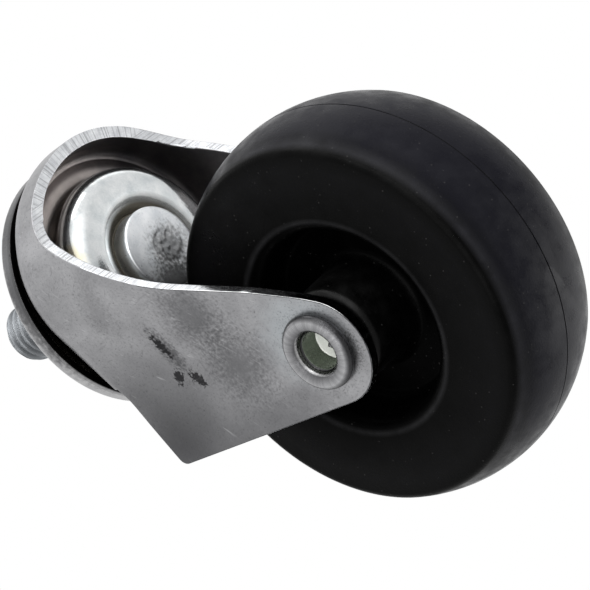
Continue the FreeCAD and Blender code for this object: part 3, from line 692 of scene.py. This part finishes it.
# The axle: a semi-tubular steel rivet, zinc plated, with its tube end rolled out over the near leg.
# Rings of painted highlight and painted shade run round the roll and into its mouth, and the tool
# left streaks on the roll. The bore's wall is green with old oil, and its floor is pale and uneven.
# A small burr stands in its mouth.
ROLL_MIDDLE = 3.8
ROLL_LEVEL = 14.35
ROLL_WIDTH = 1.08
ROLL_HEIGHT = 0.94
BORE_RADIUS = 2.5
RINGS_END = 5.0
FLOOR_RADIUS = 2.4
FLOOR_FADE = 0.06
FLOOR_RELIEF = 0.16
FLOOR_RATE = 0.9
BURR_RADIUS = 2.78
BURR_HALF = 0.42
BURR_DEPTH = 0.3
BURR_HEIGHT = 0.75
MOUTH = -14.2
NEAR_END = -5
RIVET_STEPS = 144
far_head = [(0, -15.7), (4.0, -15.7), (4.6, -15.58), (5.1, -15.3), (5.4, -14.95), (5.5, -14.5),
            (5.5, -13.9)]
shank = [(3.5, -13.9), (3.5, 13.9)]
roll = [(4.72, 13.9), (4.82, 14.1)]
for turn in range(0, 181, 12):
    roll.append((ROLL_MIDDLE + ROLL_WIDTH * math.cos(math.radians(turn)),
                 ROLL_LEVEL + ROLL_HEIGHT * math.sin(math.radians(turn))))
bore = [(2.72, 14.15), (2.64, 14.0), (BORE_RADIUS, 13.9), (2.48, 11.4), (2.38, 11.25), (2.1, 11.2),
        (1.7, 11.22), (1.3, 11.2), (0.9, 11.23), (0.5, 11.2), (0, 11.22)]
rivet = turned("axle_rivet_rolled", far_head + shank + roll + bore, RIVET_STEPS)
rivet.data.transform(Matrix.Translation(AXLE * MM) @ Matrix.Rotation(math.pi / 2, 4, "X"))
for vertex in rivet.data.vertices:
    x, y, z = (v / MM for v in vertex.co)
    on_floor = -11.45 < y < -11.1
    if on_floor:
        rough = max(noise.noise(Vector((x * FLOOR_RATE, z * FLOOR_RATE, 5.0))), 0)
        vertex.co.y -= FLOOR_RELIEF * rough * MM
    spoke = Vector((x - AXLE.x, z - AXLE.z))
    at_lower_mouth = spoke.y < 0 and y < MOUTH
    if at_lower_mouth:
        aside = max(1 - abs(spoke.x) / BURR_HALF, 0)
        inwards = max(1 - abs(spoke.length - BURR_RADIUS) / BURR_DEPTH, 0)
        vertex.co.z += BURR_HEIGHT * (aside * inwards) * MM
shade_smooth(rivet, 50)

rivet_zinc, spot = new_material("zinc_plated_rolled_rivet")
colour, grain = plated(rivet_zinc, spot, "8A8A8E", "B4B4B4", cloud=1.6)
from_axle, flat, reach = about_axle(rivet_zinc, spot)
depth = add_node(rivet_zinc, "ShaderNodeSeparateXYZ", Vector=from_axle).outputs["Y"]
near_end = calculate(rivet_zinc, "LESS_THAN", depth, NEAR_END * MM)
from_bore = ramp(rivet_zinc, reach, BORE_RADIUS * MM, RINGS_END * MM)
# Painted light: rings of painted highlight and painted shade round the roll and its mouth; the
# innermost green is the oily wall of the bore.
painted_light_rings = tones(rivet_zinc, from_bore, [
    ((radius - BORE_RADIUS) / (RINGS_END - BORE_RADIUS), shade) for radius, shade in (
        (2.52, "5E6859"), (2.56, "1E1E1E"), (2.68, "2A2A2A"), (2.8, "D0D0D0"), (3.0, "525254"),
        (3.3, "747476"), (3.8, "98989A"), (4.2, "A8A8AA"), (4.5, "6A6A6C"), (4.7, "222224"))])
rolled = calculate(rivet_zinc, "MULTIPLY", near_end, 0.9)
colour = blend(rivet_zinc, rolled, colour, painted_light_rings)
around = add_node(rivet_zinc, "ShaderNodeVectorMath", {"operation": "NORMALIZE"}, in_0=flat)
streaks = add_node(rivet_zinc, "ShaderNodeTexNoise", Vector=around.outputs[0], Scale=9.0,
                   Detail=3.0, Roughness=0.7)
dark_streaks = ramp(rivet_zinc, streaks.outputs[0], 0.38, 0.6, 0.3, 0.0)
colour = blend(rivet_zinc, dark_streaks, colour, paint("4E4E50"))
floor_end = FLOOR_RADIUS + FLOOR_FADE
on_floor = ramp(rivet_zinc, reach, FLOOR_RADIUS * MM, floor_end * MM, 1.0, 0.0)
on_floor = calculate(rivet_zinc, "MULTIPLY", on_floor, near_end)
colour = blend(rivet_zinc, on_floor, colour, paint("D8DAD4"))
gloss = ramp(rivet_zinc, grain, 0.3, 0.7, 0.2, 0.3)
finish_metal(rivet_zinc, colour, gloss, grain, 0.01, ramp(rivet_zinc, on_floor, 0, 1, 1.0, 0.1))
rivet.data.materials.append(rivet_zinc)
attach(rivet, "fork")
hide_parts("axle_rivet")

# The stage: a pale floor that the wheel stands on, seen from above only, a plain white surround and
# soft lamps. Sizes and places in metres, power in watts.
FLOOR_SIZE = 1.2
bpy.ops.object.select_all(action="DESELECT")
bpy.ops.mesh.primitive_plane_add(size=FLOOR_SIZE, location=(0, 0, cad_box[0].z))
floor = bpy.context.object
floor.name = "floor"
floor_paint = new_material("pale_floor")[0]
facing = add_node(floor_paint, "ShaderNodeNewGeometry").outputs["Backfacing"]
path = add_node(floor_paint, "ShaderNodeLightPath")
unseen = calculate(floor_paint, "MAXIMUM", facing, path.outputs["Is Shadow Ray"])
clear = add_node(floor_paint, "ShaderNodeBsdfTransparent")
matt = add_node(floor_paint, "ShaderNodeBsdfDiffuse", Color=paint("F2F2F2"))
mixed = add_node(floor_paint, "ShaderNodeMixShader", Fac=unseen, in_1=matt.outputs[0],
                 in_2=clear.outputs[0])
add_node(floor_paint, "ShaderNodeOutputMaterial", Surface=mixed.outputs[0])
floor.data.materials.append(floor_paint)

UNSEEN_POWER = 0.85
world = bpy.data.worlds.new("surround")
bpy.context.scene.world = world
world.use_nodes = True
world.node_tree.nodes.clear()
path = add_node(world, "ShaderNodeLightPath")
seen = calculate(world, "MAXIMUM", path.outputs["Is Camera Ray"], path.outputs["Is Glossy Ray"])
seen = calculate(world, "MAXIMUM", seen, path.outputs["Is Transmission Ray"])
power = ramp(world, seen, 0, 1, UNSEEN_POWER, 1.0)
sky = add_node(world, "ShaderNodeBackground", Color=(1, 1, 1, 1), Strength=power)
add_node(world, "ShaderNodeOutputWorld", Surface=sky.outputs[0])

LIT_PLACE = Vector((-0.01, 0, -0.03))
for name, place, power, size in (
        ("key", (-0.03, 0.2, -0.31), 0.35, 0.2),
        ("fill", (0.26, -0.12, -0.235), 2.3, 0.22),
        ("front", (0.05, -0.19, -0.36), 0.3, 0.15),
        ("side", (0.01, -0.36, -0.2), 0.9, 0.15),
        ("back_left", (0.2, -0.085, 0.25), 0.03, 0.1),
        ("right", (-0.19, 0.27, -0.18), 1.8, 0.2),
        ("ahead", (0.3, 0.04, -0.03), 0.14, 0.15),
        ("throat", (0.22, 0.22, 0.03), 0.03, 0.15)):
    lamp_data = bpy.data.lights.new(name, "AREA")
    lamp_data.energy = power
    lamp_data.size = size
    lamp = bpy.data.objects.new(name, lamp_data)
    lamp.location = place
    lamp.rotation_euler = (LIT_PLACE - Vector(place)).to_track_quat("-Z", "Y").to_euler()
    lamp.visible_camera = False
    bpy.context.scene.collection.objects.link(lamp)
bpy.context.scene.view_settings.view_transform = "Standard"
